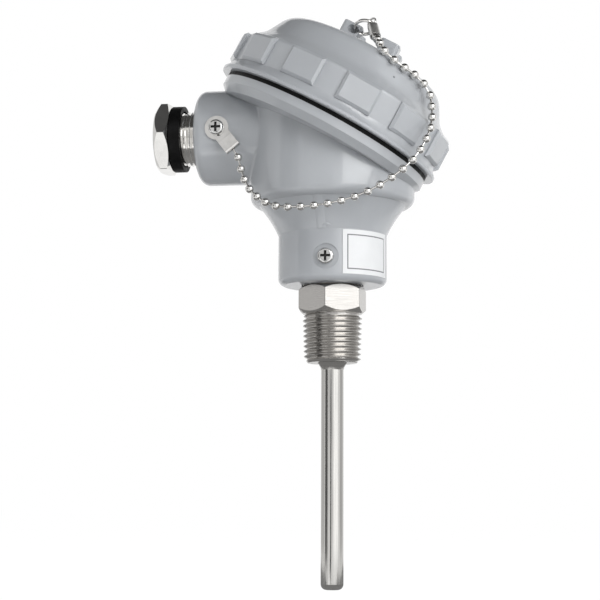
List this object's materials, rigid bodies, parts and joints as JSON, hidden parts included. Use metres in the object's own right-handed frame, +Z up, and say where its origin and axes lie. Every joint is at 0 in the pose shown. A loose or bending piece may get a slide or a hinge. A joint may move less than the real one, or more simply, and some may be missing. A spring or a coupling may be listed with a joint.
{
  "type": "rtd probe with head",
  "caption": "Resistance thermometer with a straight sheath, tapered process thread, leaning screw-cap connection head, cable gland and a bead chain that keeps the cap.",
  "frame": {"origin": "centre of the hexagon's underside on the probe's axis, where the tapered process thread starts", "axes": "+Z up the probe's axis towards the head, the cable entry points to -X, the cap's thread leans 28.4 degrees from +Z towards +X, and the chain hangs on the -Y side"},
  "size_m": [0.1059, 0.086, 0.2036],
  "materials": {
    "grey_casting": "grey semi-gloss enamel over a light-alloy casting",
    "black_rubber": "matte",
    "turned_steel": "turned",
    "drawn_steel": "drawn and lightly brushed",
    "white_ceramic": "fired ceramic",
    "wire_metal": "bright wire",
    "brass_plate": "rolled",
    "bright_screw": "zinc plated",
    "plated_brass": "nickel plated, polished",
    "chain_metal": "nickel plated, polished",
    "bare_label": "white film, left blank"
  },
  "bodies": {
    "housing": {"housing": "grey_casting", "process_fitting": "turned_steel", "sheath_tube": "drawn_steel", "element_potting": "white_ceramic", "rtd_element": "white_ceramic", "insulator_tube": "white_ceramic", "lead_wires": "wire_metal", "terminal_block": "white_ceramic", "terminals": "brass_plate", "terminal_screws": "bright_screw", "block_screws": "bright_screw", "neck_set_screw": "bright_screw", "clip_screw": "bright_screw", "chain_clip_lower": "chain_metal", "bead_chain": "chain_metal", "neck_label": "bare_label", "gland_washer": "bright_screw", "gland_grommet": "black_rubber"},
    "cap_rise": {"cap_gasket": "black_rubber"},
    "cap": {"cap": "grey_casting", "split_ring": "chain_metal", "chain_clip_upper": "chain_metal"},
    "gland_travel": {"gland_seal_ring": "black_rubber"},
    "gland": {"gland_screw": "plated_brass"}
  },
  "joints": [
    {"name": "cap_lift", "type": "slide", "parent": "housing", "child": "cap_rise", "axis": [0.4756, 0, 0.8796], "range_m": [0, 0.009]},
    {"name": "cap_turn", "type": "hinge", "parent": "cap_rise", "child": "cap", "pos_m": [-0.002, 0, 0.0682], "axis": [0.4756, 0, 0.8796], "range_deg": [0, 1080], "deforming": ["bead_chain"]},
    {"name": "gland_slide", "type": "slide", "parent": "housing", "child": "gland_travel", "axis": [-1, 0, 0], "range_m": [-0.0045, 0.0045]},
    {"name": "gland_turn", "type": "hinge", "parent": "gland_travel", "child": "gland", "pos_m": [-0.058, 0, 0.065], "axis": [-1, 0, 0], "range_deg": [-1080, 1080]}
  ],
  "couplings": [
    {"joint": "cap_lift", "follows": "cap_turn", "m_per_rad": 0.00047746},
    {"joint": "gland_slide", "follows": "gland_turn", "m_per_rad": 0.00023873}
  ]
}
